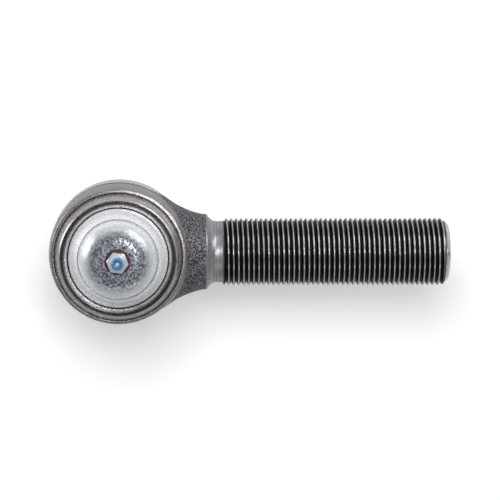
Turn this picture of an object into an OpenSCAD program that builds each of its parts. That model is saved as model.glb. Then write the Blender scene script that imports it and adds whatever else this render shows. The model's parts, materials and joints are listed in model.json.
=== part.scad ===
// Steering ball-joint rod end: a forged socket on a male threaded shank, with a
// swinging tapered stud, a sprung seat, a swaged end cap and a grease fitting.
// Origin: centre of the ball. +X runs along the shank, +Z towards the end cap,
// and the stud points to -Z.

/* [Shank] */
// Major diameter of the shank thread
shank_d = 28.575; // [27.5:0.025:29.5]
// Threads per inch on the shank
shank_tpi = 12; // [11:1:14]
// Distance from the ball centre to the shank's end
shank_end_x = 139.7; // [125:0.1:155]
// Distance from the ball centre to the first thread
thread_start_x = 43.5; // [42.5:0.1:46]
// Diameter of the polished relief behind the thread
relief_d = 25.9; // [24.5:0.1:26.5]

/* [Head] */
// Largest diameter of the socket's head
head_d = 58.7; // [58:0.1:60]
// Height of the swaged crown above the ball centre
crown_z = 26.3; // [26:0.1:27]
// Depth of the head's underside below the ball centre
head_bottom = 22; // [21.5:0.1:22.5]
// Diameter of the forged neck at its plain end
neck_d = 31.8; // [31.2:0.1:32.4]

/* [Ball joint] */
// Diameter of the ball
ball_d = 38.1; // [37.9:0.05:38.2]
// Radial running clearance between the ball and its seats
ball_clear = 0.05; // [0.02:0.01:0.08]
// Diameter of the stud's neck just under the ball
stud_neck_d = 21; // [19:0.1:21.4]

/* [Stud] */
// Diameter of the taper at its large end
taper_big_d = 27; // [26.5:0.1:27.2]
// Length of the 1:8 taper
taper_len = 32; // [26:0.5:34]
// Major diameter of the stud's nut thread
stud_thread_d = 22.225; // [21.6:0.025:22.4]
// Threads per inch on the stud
stud_tpi = 14; // [12:1:16]
// Width across the flats of the castle nut
nut_af = 33.3; // [32:0.1:35]

/* [End cap and grease fitting] */
// Height of the flat top of the end cap above the ball centre
cap_top = 37.2; // [36.6:0.1:37.8]
// Sheet thickness of the end cap
cap_wall = 2.6; // [2.2:0.1:2.8]
// Width across the flats of the grease fitting
fitting_af = 7.94; // [7:0.01:8.2]

/* [Hidden] */
$fn = 96;
inch = 25.4;
fit_gap = 0.03;
clear_size = 80;

shank_r = shank_d / 2;
shank_pitch = inch / shank_tpi;
thread_depth_per_pitch = 0.6134;
crest_flat = 1 / 8;
root_flat = 1 / 4;
end_chamfer = 2.9;
end_chamfer_rise = 2.75;
relief_r = relief_d / 2;
neck_r = neck_d / 2;
neck_end_x = 37.4;
relief_start_x = 40.2;

head_r = head_d / 2;
socket_r = 22.2;
socket_floor_z = -8;
seat_cone_z = -13.5;
seat_cone_r = 17.8;
mouth_r = 21.2;
cap_rim_r = 23.2;
cap_rim_bottom = 20.7;
cap_rim_top = 23.6;
cap_edge_r = 20.6;
cap_edge_z = 24.4;
cap_step_r = 16.8;
cap_step_z = 29.8;
cap_flat_r = 6.4;
register_r = 27.6;
register_top = -17.9;
band_bottom = -15;
band_top = -2.8;
band_groove = 0.5;
band_groove_h = 4.2;
shoulder_z = 19.7;
groove_r = 26.55;
groove_z = 19.35;
lip_inner_r = 20.95;
lip_root_z = 24.65;

ball_r = ball_d / 2;
seat_r = ball_r + ball_clear;
seat_od_r = socket_r - fit_gap;
seat_edge_z = -9.3;
stud_neck_r = stud_neck_d / 2;
neck_flare_z = -30;
boot_land_z = -34;
boot_land_r = 13.7;
taper_start_z = -42;
taper_slope = 1 / 16;
taper_big_r = taper_big_d / 2;
taper_end_z = taper_start_z - taper_len;
taper_small_r = taper_big_r - taper_len * taper_slope;
stud_thread_r = stud_thread_d / 2;
stud_pitch = inch / stud_tpi;
stud_thread_z = taper_end_z - 2.5;
stud_thread_len = 29;
stud_end_z = stud_thread_z - stud_thread_len;
cotter_hole_r = 2.1;
cotter_z = stud_thread_z - 19.5;

nut_top = stud_thread_z - 3.2;
nut_h = 20.5;
nut_slot_w = 4.6;
nut_slot_h = 6.6;
nut_bottom = nut_top - nut_h;

retainer_wall = 1.62;
retainer_taper = 0.55;
retainer_bottom = -25.6;
retainer_lip_r = 25.2;
boot_ring_z = -39.6;
boot_groove_r = 16.4;
boot_wire_r = 0.8;

fitting_r = fitting_af / 2 / cos(30);
seal_h = 1;
fitting_base = cap_top + seal_h;
hex_h = 3.6;
fitting_tip = 46.1;
fitting_bore_r = 1.45;
fitting_thread_r = 3.175;
fitting_thread_bottom = fitting_base - 6.6;
check_ball_r = 1.25;
check_seat_z = fitting_tip - 1.1;

// Points along a V-thread's ring grooves: [distance along the axis, radius]
function thread_outline(start, turns, pitch, crest_r) =
  let (root_r = crest_r - thread_depth_per_pitch * pitch)
  [
    for (i = [0 : turns - 1])
      let (x = start + i * pitch)
      each [
        [x, root_r],
        [x + root_flat * pitch, root_r],
        [x + (root_flat + (1 - root_flat - crest_flat) / 2) * pitch, crest_r],
        [x + (root_flat + (1 - root_flat + crest_flat) / 2) * pitch, crest_r]
      ]
  ];

// Ring of circles swept along a coil that climbs from z0 to z1
module coil_spring(r_low, r_high, z0, z1, wire_r, turns, steps, sides) {
  rings = round(turns * steps);
  points = [
    for (i = [0 : rings])
      let (
        t = i / rings,
        a = 360 * turns * t,
        r = r_low + (r_high - r_low) * t,
        z = z0 + (z1 - z0) * t
      )
      for (j = [0 : sides - 1])
        let (b = 360 * j / sides)
        [(r + wire_r * cos(b)) * cos(a), (r + wire_r * cos(b)) * sin(a), z + wire_r * sin(b)]
  ];
  faces = concat(
    [[for (j = [0 : sides - 1]) j]],
    [
      for (i = [0 : rings - 1], j = [0 : sides - 1])
        let (k = (j + 1) % sides)
        [i * sides + j, (i + 1) * sides + j, (i + 1) * sides + k, i * sides + k]
    ],
    [[for (j = [sides - 1 : -1 : 0]) rings * sides + j]]
  );
  polyhedron(points = points, faces = faces, convexity = 8);
}

module along_x() {
  rotate([90, 0, 90]) children();
}

// Head: the machined wall, a stepped shoulder and the swaged crown
module head_blank() {
  rotate_extrude()
    polygon([
      [0, -head_bottom],
      [register_r - 0.6, -head_bottom],
      [register_r, -head_bottom + 0.6],
      [register_r, register_top],
      [head_r - 1, register_top],
      [head_r - 0.3, register_top + 1],
      [head_r, band_bottom],
      [head_r, band_top],
      [head_r - band_groove, band_top + 0.4],
      [head_r - band_groove, band_top + band_groove_h],
      [head_r - 0.12, band_top + band_groove_h + 0.4],
      [head_r - 0.15, 10],
      [head_r - 0.7, 16],
      [head_r - 1.35, 19.4],
      [head_r - 1.75, shoulder_z],
      [groove_r + 0.35, shoulder_z],
      [groove_r, groove_z],
      [groove_r - 0.25, groove_z + 0.95],
      [24.75, crown_z - 0.8],
      [24.4, crown_z - 0.15],
      [23.95, crown_z],
      [0, crown_z]
    ]);
}

// Forged neck that flares into the head
module neck_blank() {
  difference() {
    along_x() rotate_extrude()
      polygon([
        [0, 15],
        [24, 15],
        [23.6, 19],
        [21.7, 21.8],
        [18.7, 27.2],
        [17, 31.5],
        [16.05, 34.8],
        [neck_r, 36.5],
        [neck_r - 0.35, neck_end_x],
        [0, neck_end_x]
      ]);
    translate([0, -clear_size / 2, register_top - clear_size])
      cube([clear_size, clear_size, clear_size]);
  }
}

// Relief, thread and end chamfer, turned about the shank axis
module shank_blank() {
  shoulder_r = 15;
  core_start_x = 20;
  root_r = shank_r - thread_depth_per_pitch * shank_pitch;
  chamfer_x = shank_end_x - end_chamfer;
  turns = floor((chamfer_x - thread_start_x) / shank_pitch);
  outline = thread_outline(thread_start_x, turns, shank_pitch, shank_r);
  last_x = thread_start_x + turns * shank_pitch;
  along_x() rotate_extrude()
    polygon(concat(
      [
        [0, core_start_x],
        [shoulder_r, core_start_x],
        [shoulder_r, neck_end_x],
        [relief_r + 0.5, relief_start_x - 0.3],
        [relief_r, relief_start_x + 0.5],
        [relief_r, thread_start_x - 0.4],
        [root_r, thread_start_x - 0.2]
      ],
      [for (p = outline) [p[1], p[0]]],
      [
        [root_r, last_x],
        [shank_r - 0.5, last_x + 0.55],
        [shank_r - end_chamfer_rise, shank_end_x],
        [0, shank_end_x]
      ]
    ));
}

// Everything hollow inside the head, from the cap's pocket to the stud's mouth
module socket_hollow() {
  rotate_extrude()
    polygon([
      [0, -head_bottom - 1],
      [mouth_r + 0.35, -head_bottom - 1],
      [mouth_r, -head_bottom],
      [seat_cone_r, seat_cone_z],
      [socket_r, socket_floor_z],
      [socket_r, cap_rim_bottom - 0.02],
      [cap_rim_r + fit_gap, cap_rim_bottom - 0.02],
      [cap_rim_r + fit_gap, cap_rim_top + fit_gap],
      [lip_inner_r + 0.05, cap_rim_top + fit_gap],
      [lip_inner_r, cap_rim_top + 0.5],
      [lip_inner_r + 0.2, lip_root_z],
      [22.9, 25.1],
      [23.25, 25.8],
      [23.5, crown_z + 0.01],
      [23.5, crown_z + 4],
      [0, crown_z + 4]
    ]);
}

module socket_housing() {
  color("#4b4a4c")
    difference() {
      union() {
        head_blank();
        neck_blank();
        shank_blank();
      }
      socket_hollow();
      difference() {
        translate([0, 0, -head_bottom - 1])
          cylinder(r = clear_size / 2, h = register_top + head_bottom + 1);
        translate([0, 0, -head_bottom - 2]) cylinder(r = register_r, h = clear_size / 2);
      }
    }
}

// Pressed cap: a flat rim under the swaged lip, a steep shoulder and a dome
module end_cap() {
  dome_steps = 8;
  top_r = cap_flat_r;
  function dome(t, drop) = [
    cap_step_r - 0.4 - drop * 0.75 - (cap_step_r - 0.4 - drop * 0.75 - top_r) * (1 - cos(90 * t)),
    cap_step_z - drop * 0.55 + (cap_top - cap_step_z - drop * 0.45) * sin(90 * t)
  ];
  color("#c9ced6")
    rotate_extrude()
      polygon(concat(
        [
          [fitting_thread_r + fit_gap, cap_top],
        ],
        [for (i = [dome_steps : -1 : 0]) dome(i / dome_steps, 0)],
        [
          [cap_step_r, cap_step_z],
          [cap_edge_r, cap_edge_z],
          [cap_edge_r + 0.15, cap_rim_top],
          [cap_rim_r, cap_rim_top],
          [cap_rim_r, cap_rim_bottom],
          [cap_edge_r - cap_wall, cap_rim_bottom],
          [cap_edge_r - cap_wall, cap_edge_z - 1]
        ],
        [for (i = [0 : dome_steps]) dome(i / dome_steps, cap_wall)],
        [
          [fitting_thread_r + fit_gap, cap_top - cap_wall]
        ]
      ));
}

module preload_spring() {
  big_r = 12.6;
  small_r = 7.2;
  low_z = 23.55;
  high_z = 33.1;
  wire_r = 1.2;
  turns = 3.25;
  color("#6e7074")
    coil_spring(big_r, small_r, low_z, high_z, wire_r, turns, steps = 28, sides = 10);
}

// Upper bearing half: floats under the spring and has a grease passage
module cap_side_seat() {
  ledge_z = 22.2;
  passage_r = 2.5;
  channel_r = 1;
  channel_len = 9;
  channel_tilt = -32;
  channel_at = [14, 0, 0];
  color("#b08d57")
    difference() {
      rotate_extrude()
        polygon([
          [0, 0.6],
          [seat_od_r, 0.6],
          [seat_od_r, 15.5],
          [17.4, 20.2],
          [17, ledge_z],
          [0, ledge_z]
        ]);
      sphere(r = seat_r);
      cylinder(r = passage_r, h = 40);
      for (a = [0 : 90 : 270])
        rotate([0, 0, a + 45]) translate(channel_at) rotate([0, channel_tilt, 0])
          translate([2, 0, -6]) cylinder(r = channel_r, h = channel_len);
    }
}

// Lower bearing half: a coned ring that holds the ball in the housing
module stud_side_seat() {
  color("#b08d57")
    difference() {
      rotate_extrude()
        polygon([
          [12, -0.6],
          [12, seat_edge_z],
          [sqrt(seat_r * seat_r - seat_edge_z * seat_edge_z) + 0.02, seat_edge_z],
          [seat_cone_r - 0.2, seat_cone_z],
          [seat_cone_r + 0.02, seat_cone_z + 0.12],
          [seat_od_r, socket_floor_z + 0.05],
          [seat_od_r, -0.6]
        ]);
      sphere(r = seat_r);
    }
}

module ball_stud() {
  root_r = stud_thread_r - thread_depth_per_pitch * stud_pitch;
  turns = floor((stud_thread_len - 1.5) / stud_pitch);
  outline = thread_outline(0, turns, stud_pitch, stud_thread_r);
  last_z = stud_thread_z - turns * stud_pitch;
  ball_flat_r = 5;
  ball_flat_depth = 0.9;
  color("#8b8d90")
    difference() {
      union() {
        sphere(r = ball_r);
        rotate_extrude()
          polygon(concat(
            [
              [0, -5],
              [stud_neck_r, -5],
              [stud_neck_r, neck_flare_z],
              [boot_land_r - 0.3, boot_land_z + 0.4],
              [boot_land_r, boot_land_z],
              [boot_land_r, taper_start_z + 0.3],
              [taper_big_r, taper_start_z],
              [taper_small_r, taper_end_z],
              [root_r - 0.3, taper_end_z - 0.6],
              [root_r - 0.3, stud_thread_z + 0.3]
            ],
            [for (p = outline) [p[1], stud_thread_z - p[0]]],
            [
              [root_r, last_z],
              [root_r - 0.2, last_z - 0.2],
              [root_r - 1.4, stud_end_z],
              [0, stud_end_z]
            ]
          ));
      }
      translate([0, 0, cotter_z]) rotate([90, 0, 0])
        cylinder(r = cotter_hole_r, h = 40, center = true);
      translate([0, 0, ball_r - ball_flat_depth]) cylinder(r = ball_flat_r, h = 2);
    }
}

// Closed rubber boot: a bead under the head, a bulged wall and a collar round the stud
module dust_boot() {
  bead_top = -head_bottom - 0.08;
  bead_bottom = retainer_bottom + 1.1;
  collar_r = boot_land_r + 0.1;
  color("#26262a")
    rotate_extrude()
      polygon([
        [22.2, bead_top],
        [register_r - 0.2, bead_top],
        [register_r - 0.2, bead_bottom],
        [retainer_lip_r - 0.2, bead_bottom],
        [24.7, -26.4],
        [25.3, -28.4],
        [25.7, -30.6],
        [25.7, -32.2],
        [25.1, -33.8],
        [23.2, -35.6],
        [20.4, -37],
        [boot_groove_r + 1.2, boot_ring_z + 1.6],
        [boot_groove_r + 0.6, boot_ring_z + 1.2],
        [boot_groove_r, boot_ring_z + 0.6],
        [boot_groove_r, boot_ring_z - 0.6],
        [boot_groove_r + 0.7, boot_ring_z - 1.3],
        [boot_groove_r + 0.5, boot_ring_z - 1.9],
        [collar_r + 0.3, boot_ring_z - 2.1],
        [collar_r, boot_ring_z - 1.8],
        [collar_r, boot_ring_z + 2],
        [collar_r + 2.8, boot_ring_z + 3.2],
        [19.6, -35.5],
        [22.2, -34.3],
        [23.7, -33],
        [24.1, -31.8],
        [23.9, -30.4],
        [23.2, -28.4],
        [22.4, -26]
      ]);
}

// Plated ring pressed over the underside of the head to trap the boot's bead
module boot_retainer_ring() {
  outer_r = register_r + fit_gap + retainer_wall;
  color("#b9c0ca")
    rotate_extrude()
      polygon([
        [register_r + fit_gap, register_top - 0.05],
        [outer_r - 0.6, register_top - 0.05],
        [outer_r - 0.15, register_top - 0.3],
        [outer_r, register_top - 0.8],
        [outer_r - retainer_taper, retainer_bottom + 0.8],
        [outer_r - retainer_taper - 0.6, retainer_bottom],
        [retainer_lip_r, retainer_bottom],
        [retainer_lip_r, retainer_bottom + 1],
        [register_r + fit_gap, retainer_bottom + 1]
      ]);
}

// Spring wire ring that grips the boot's small end
module boot_garter_ring() {
  color("#8f949b")
    rotate_extrude()
      translate([boot_groove_r + boot_wire_r + 0.05, boot_ring_z])
        circle(r = boot_wire_r, $fn = 32);
}

module castle_nut() {
  nut_corner_r = nut_af / 2 / cos(30);
  color("#a9a27c")
    difference() {
      intersection() {
        translate([0, 0, nut_bottom]) cylinder(r = nut_corner_r, h = nut_h, $fn = 6);
        rotate_extrude()
          polygon([
            [0, nut_bottom],
            [nut_af / 2 - 1.6, nut_bottom],
            [nut_corner_r + 0.4, nut_bottom + 2.7],
            [nut_corner_r + 0.4, nut_top - 1.7],
            [nut_af / 2 - 0.3, nut_top],
            [0, nut_top]
          ]);
      }
      translate([0, 0, nut_bottom - 1]) cylinder(r = stud_thread_r + fit_gap, h = nut_h + 2);
      translate([0, 0, nut_top - 0.9]) cylinder(r1 = stud_thread_r, r2 = stud_thread_r + 1.1, h = 1);
      for (a = [0 : 60 : 120])
        rotate([0, 0, a + 90])
          translate([-30, -nut_slot_w / 2, nut_bottom - 1]) cube([60, nut_slot_w, nut_slot_h + 1]);
    }
}

// Split pin: an eye, a double shank through the hole and two legs bent one each way
module cotter_pin() {
  wire_r = 1.7;
  eye_wire_r = 1.1;
  eye_r = 2.7;
  leg_r = 1.05;
  leg_len = 11;
  short_leg_share = 0.8;
  head_y = -nut_af / 2 - 1.4;
  leg_y = nut_af / 2 + 1.2;
  color("#9aa0a6")
    translate([0, 0, cotter_z])
      union() {
        translate([0, head_y, 0]) rotate([-90, 0, 0])
          cylinder(r = wire_r, h = leg_y - head_y);
        translate([0, head_y - eye_r, 0])
          rotate_extrude($fn = 48) translate([eye_r, 0]) circle(r = eye_wire_r, $fn = 24);
        for (side = [-1, 1])
          translate([0, leg_y, 0]) rotate([0, side * 90, 0])
            cylinder(r = leg_r, h = leg_len * (side > 0 ? 1 : short_leg_share));
        translate([0, leg_y, 0]) sphere(r = wire_r);
      }
}

module grease_fitting() {
  hex_top = fitting_base + hex_h;
  hex_turn = -7.5;
  nipple_neck_r = 2.45;
  nipple_head_r = 3.25;
  nipple_head_z = 43.2;
  nipple_head_h = 1.2;
  tip_r = 2.1;
  opening_r = 0.95;
  color("#b4bfd0")
    difference() {
      union() {
        intersection() {
          rotate([0, 0, hex_turn])
            translate([0, 0, fitting_base]) cylinder(r = fitting_r, h = hex_h, $fn = 6);
          rotate_extrude()
            polygon([
              [0, fitting_base],
              [fitting_r + 0.3, fitting_base],
              [fitting_r + 0.3, hex_top - 0.7],
              [fitting_r - 0.7, hex_top],
              [0, hex_top]
            ]);
        }
        translate([0, 0, fitting_thread_bottom])
          cylinder(r = fitting_thread_r, h = fitting_base - fitting_thread_bottom + 0.5);
        rotate_extrude()
          polygon([
            [0, hex_top - 0.5],
            [nipple_neck_r + 0.3, hex_top - 0.5],
            [nipple_neck_r, hex_top + 0.3],
            [nipple_neck_r, nipple_head_z - 0.6],
            [nipple_head_r, nipple_head_z],
            [nipple_head_r, nipple_head_z + nipple_head_h],
            [tip_r, fitting_tip - 0.1],
            [tip_r - 0.2, fitting_tip],
            [0, fitting_tip]
          ]);
      }
      translate([0, 0, fitting_thread_bottom - 1])
        cylinder(r = fitting_bore_r, h = check_seat_z - fitting_thread_bottom + 1 - 0.6);
      translate([0, 0, check_seat_z - 0.65])
        cylinder(r1 = fitting_bore_r, r2 = opening_r, h = 0.85);
      translate([0, 0, check_seat_z])
        cylinder(r = opening_r, h = 3);
    }
}

module fitting_seal_washer() {
  seal_r = 5.2;
  color("#8c2320")
    rotate_extrude()
      polygon([
        [fitting_thread_r + 0.1, cap_top + 0.02],
        [seal_r, cap_top + 0.02],
        [seal_r, cap_top + 0.7],
        [seal_r - 0.25, cap_top + seal_h - 0.02],
        [fitting_thread_r + 0.1, cap_top + seal_h - 0.02]
      ]);
}

module fitting_check_ball() {
  color("#d8dade")
    translate([0, 0, check_seat_z - 0.7]) sphere(r = check_ball_r, $fn = 48);
}

module fitting_check_spring() {
  coil_r = 1.05;
  wire_r = 0.17;
  turns = 7;
  low_z = fitting_thread_bottom + 0.6;
  high_z = check_seat_z - 2.5;
  color("#8e9196")
    coil_spring(coil_r, coil_r, low_z, high_z, wire_r, turns, steps = 14, sides = 6);
}

socket_housing();
end_cap();
preload_spring();
cap_side_seat();
stud_side_seat();
ball_stud();
dust_boot();
boot_retainer_ring();
boot_garter_ring();
castle_nut();
cotter_pin();
grease_fitting();
fitting_seal_washer();
fitting_check_ball();
fitting_check_spring();
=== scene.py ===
"""Looks of the steering ball-joint rod end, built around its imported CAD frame.

Shapes are drawn in millimetres in the CAD's own frame: origin at the ball's centre, +X along
the shank, +Z towards the end cap. make_mesh() turns them into metres. The lights and the
camera are placed in metres.
"""

import json
import math

import bmesh
import bpy
import numpy as np
from mathutils import Matrix, Vector


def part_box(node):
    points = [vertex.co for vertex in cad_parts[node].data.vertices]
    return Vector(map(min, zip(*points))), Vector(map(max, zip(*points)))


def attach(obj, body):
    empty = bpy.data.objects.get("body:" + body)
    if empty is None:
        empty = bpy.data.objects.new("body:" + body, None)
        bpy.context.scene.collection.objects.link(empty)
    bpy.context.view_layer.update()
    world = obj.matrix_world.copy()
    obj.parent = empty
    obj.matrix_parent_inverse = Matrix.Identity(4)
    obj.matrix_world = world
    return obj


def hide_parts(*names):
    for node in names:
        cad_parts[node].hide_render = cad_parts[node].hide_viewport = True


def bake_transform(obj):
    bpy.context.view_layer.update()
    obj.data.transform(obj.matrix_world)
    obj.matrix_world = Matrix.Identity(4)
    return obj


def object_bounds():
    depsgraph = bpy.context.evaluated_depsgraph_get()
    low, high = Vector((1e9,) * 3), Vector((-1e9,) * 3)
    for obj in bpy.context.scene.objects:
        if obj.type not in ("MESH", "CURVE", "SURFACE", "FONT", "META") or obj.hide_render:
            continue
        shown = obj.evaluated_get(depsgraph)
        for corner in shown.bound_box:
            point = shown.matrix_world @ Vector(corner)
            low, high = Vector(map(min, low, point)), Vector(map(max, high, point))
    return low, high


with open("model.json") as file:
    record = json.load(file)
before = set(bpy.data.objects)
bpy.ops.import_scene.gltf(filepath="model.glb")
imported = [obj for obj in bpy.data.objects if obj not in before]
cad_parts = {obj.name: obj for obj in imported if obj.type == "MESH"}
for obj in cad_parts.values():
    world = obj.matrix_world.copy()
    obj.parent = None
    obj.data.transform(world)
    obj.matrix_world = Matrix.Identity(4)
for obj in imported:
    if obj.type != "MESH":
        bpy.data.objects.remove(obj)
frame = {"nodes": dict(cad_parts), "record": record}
cad_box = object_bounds()

MM = 0.001
INCH = 25.4

# ---------------------------------------------------------------- sizes from the frame


def box_mm(node):
    low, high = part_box(node)
    return np.array(low) / MM, np.array(high) / MM


HOUSING_LOW, HOUSING_HIGH = box_mm("socket_housing")
CAP_LOW, CAP_HIGH = box_mm("end_cap")
FITTING_LOW, FITTING_HIGH = box_mm("grease_fitting")
STUD_LOW, _ = box_mm("ball_stud")
BOOT_LOW, BOOT_HIGH = box_mm("dust_boot")
RETAINER_LOW, RETAINER_HIGH = box_mm("boot_retainer_ring")
GARTER_LOW, GARTER_HIGH = box_mm("boot_garter_ring")
NUT_LOW, NUT_HIGH = box_mm("castle_nut")
PIN_LOW, PIN_HIGH = box_mm("cotter_pin")
SEAL_LOW, SEAL_HIGH = box_mm("fitting_seal_washer")

MOUNTS = {m["name"]: m for m in frame["record"]["mounts"]}
SHANK_R = MOUNTS["shank_thread"]["dims"]["r_mm"]
SHANK_END = HOUSING_HIGH[0]
HEAD_R = -HOUSING_LOW[0]
CROWN_Z = HOUSING_HIGH[2]
HEAD_BOTTOM = HOUSING_LOW[2]
SHANK_PITCH = INCH / 12
DEPTH_PER_PITCH = 0.6134    # of an external thread with 60-degree flanks
THREAD_DEPTH = DEPTH_PER_PITCH * SHANK_PITCH

# ---------------------------------------------------------------- mesh helpers


def rounded(outline, radii, steps=5):
    """The outline with each corner that has a radius turned into an arc of steps + 1 points."""
    count = len(outline)
    points = []
    for i, (corner, radius) in enumerate(zip(outline, radii)):
        here = np.array(corner, float)
        before = np.array(outline[(i - 1) % count], float)
        after = np.array(outline[(i + 1) % count], float)
        if not radius:
            points.append(here)
            continue
        back, ahead = before - here, after - here
        back_len, ahead_len = np.linalg.norm(back), np.linalg.norm(ahead)
        back, ahead = back / back_len, ahead / ahead_len
        half = math.acos(max(-1.0, min(1.0, float(back @ ahead)))) / 2
        if half < 0.02 or half > math.pi / 2 - 0.01:
            points.append(here)
            continue
        cut = min(radius / math.tan(half), 0.48 * back_len, 0.48 * ahead_len)
        start, end = here + back * cut, here + ahead * cut
        for k in range(steps + 1):
            t = k / steps
            # a quadratic curve through the two cuts, close to the true arc at these sizes
            points.append((1 - t) ** 2 * start + 2 * t * (1 - t) * here + t * t * end)
    return [tuple(p) for p in points]


def grid_faces(rows, columns, close_rows=False):
    """Quads between the closed rings of a grid. close_rows joins the last ring to the first."""
    r = np.arange(rows if close_rows else rows - 1)
    c = np.arange(columns)
    row, column = np.meshgrid(r, c, indexing="ij")
    next_row = (row + 1) % rows
    next_column = (column + 1) % columns
    quads = np.stack([row * columns + column, row * columns + next_column,
                      next_row * columns + next_column, next_row * columns + column], -1)
    return quads.reshape(-1, 4).tolist()


def make_mesh(name, vertices, faces):
    mesh = bpy.data.meshes.new(name)
    mesh.from_pydata(np.asarray(vertices, float) * MM, [], faces)
    mesh.validate()
    piece = bpy.data.objects.new(name, mesh)
    bpy.context.scene.collection.objects.link(piece)
    return piece


def weld(piece, distance_mm=0.002):
    """Merges doubled points, drops empty faces and turns every face outwards."""
    work = bmesh.new()
    work.from_mesh(piece.data)
    bmesh.ops.remove_doubles(work, verts=work.verts, dist=distance_mm * MM)
    bmesh.ops.dissolve_degenerate(work, edges=work.edges, dist=distance_mm * MM * 0.5)
    bmesh.ops.recalc_face_normals(work, faces=work.faces)
    work.to_mesh(piece.data)
    work.free()
    return piece


def smooth(piece, sharp_deg=32):
    piece.data.shade_smooth()
    piece.data.set_sharp_from_angle(angle=math.radians(sharp_deg))
    return piece


def ring_points(radius, z, turn):
    """Points of a level ring, with one radius or one for each angle."""
    return np.stack([radius * np.cos(turn), radius * np.sin(turn), np.full(len(turn), z)], -1)


def lathe(name, profile, segments=160, closed=True):
    """Turns a profile of (radius, height) points about Z. A closed profile makes a ring."""
    turn = np.linspace(0, 2 * math.pi, segments, endpoint=False)
    points = np.concatenate([ring_points(radius, z, turn) for radius, z in profile])
    faces = grid_faces(len(profile), segments, close_rows=closed)
    piece = make_mesh(name, points, faces)
    return smooth(weld(piece))


def cap_ends(rows, columns):
    """Two faces that close the first and the last ring of a grid."""
    first = list(range(columns))[::-1]
    last = [(rows - 1) * columns + c for c in range(columns)]
    return [first, last]


def prism(name, outline, low, high):
    """A closed prism on an outline of (x, y) points, between two heights."""
    points = [(x, y, z) for z in (low, high) for x, y in outline]
    faces = grid_faces(2, len(outline)) + cap_ends(2, len(outline))
    return weld(make_mesh(name, points, faces))


def hexagon(corner, turn=0.0):
    """Corner points of a hexagon, the first one turned from +X."""
    angles = [turn + k * math.pi / 3 for k in range(6)]
    return [(corner * math.cos(a), corner * math.sin(a)) for a in angles]


def join_solids(target, tool, operation="UNION"):
    """A boolean on closed meshes, applied at once. The tool object is removed."""
    modifier = target.modifiers.new("join", "BOOLEAN")
    modifier.operation = operation
    modifier.object = tool
    modifier.solver = "MANIFOLD"
    apply_modifiers(target)
    bpy.data.objects.remove(tool)
    return target


def apply_modifiers(piece):
    graph = bpy.context.evaluated_depsgraph_get()
    done = bpy.data.meshes.new_from_object(piece.evaluated_get(graph))
    piece.modifiers.clear()
    piece.data = done
    return piece


def bevel(piece, width_mm, angle_deg=30):
    """Breaks the edges that turn by more than an angle."""
    edge = piece.modifiers.new("edges", "BEVEL")
    edge.width, edge.segments, edge.limit_method = width_mm * MM, 2, "ANGLE"
    edge.angle_limit = math.radians(angle_deg)


def coordinates(piece):
    flat = np.zeros(len(piece.data.vertices) * 3)
    piece.data.vertices.foreach_get("co", flat)
    return flat.reshape(-1, 3) / MM


def set_coordinates(piece, points):
    piece.data.vertices.foreach_set("co", (points * MM).ravel())
    piece.data.update()


def vertex_normals(piece):
    flat = np.zeros(len(piece.data.vertices) * 3)
    piece.data.vertex_normals.foreach_get("vector", flat)
    return flat.reshape(-1, 3)


def store(piece, name, values):
    """A number on each point, read by the piece's material."""
    layer = piece.data.attributes.new(name, "FLOAT", "POINT")
    layer.data.foreach_set("value", np.asarray(values, np.float32))


def within(value, low, high):
    return (value > low) & (value < high)


def step_up(x, low, high):
    """0 up to low, 1 from high on, and a smooth step between."""
    t = np.clip((np.asarray(x, float) - low) / (high - low), 0, 1)
    return t * t * (3 - 2 * t)


def lumps(points, scale_mm, seed):
    """Smooth random height, -1 to 1, from a lattice of hashed values, the same on every run."""
    q = points / scale_mm + seed * 17.31
    cell = np.floor(q).astype(np.int64)
    part = q - cell
    part = part * part * (3 - 2 * part)
    total = np.zeros(len(points))
    for dx in (0, 1):
        for dy in (0, 1):
            for dz in (0, 1):
                n = (
                    (cell[:, 0] + dx) * 73856093
                    ^ (cell[:, 1] + dy) * 19349663
                    ^ (cell[:, 2] + dz) * 83492791
                )
                n = (n ^ (n >> 13)) * 1274126177
                n = (n ^ (n >> 16)) & 0xFFFF
                weight = (
                    np.where(dx, part[:, 0], 1 - part[:, 0])
                    * np.where(dy, part[:, 1], 1 - part[:, 1])
                    * np.where(dz, part[:, 2], 1 - part[:, 2])
                )
                total += weight * (n / 32767.5 - 1)
    return total


# ---------------------------------------------------------------- material helpers


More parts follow.
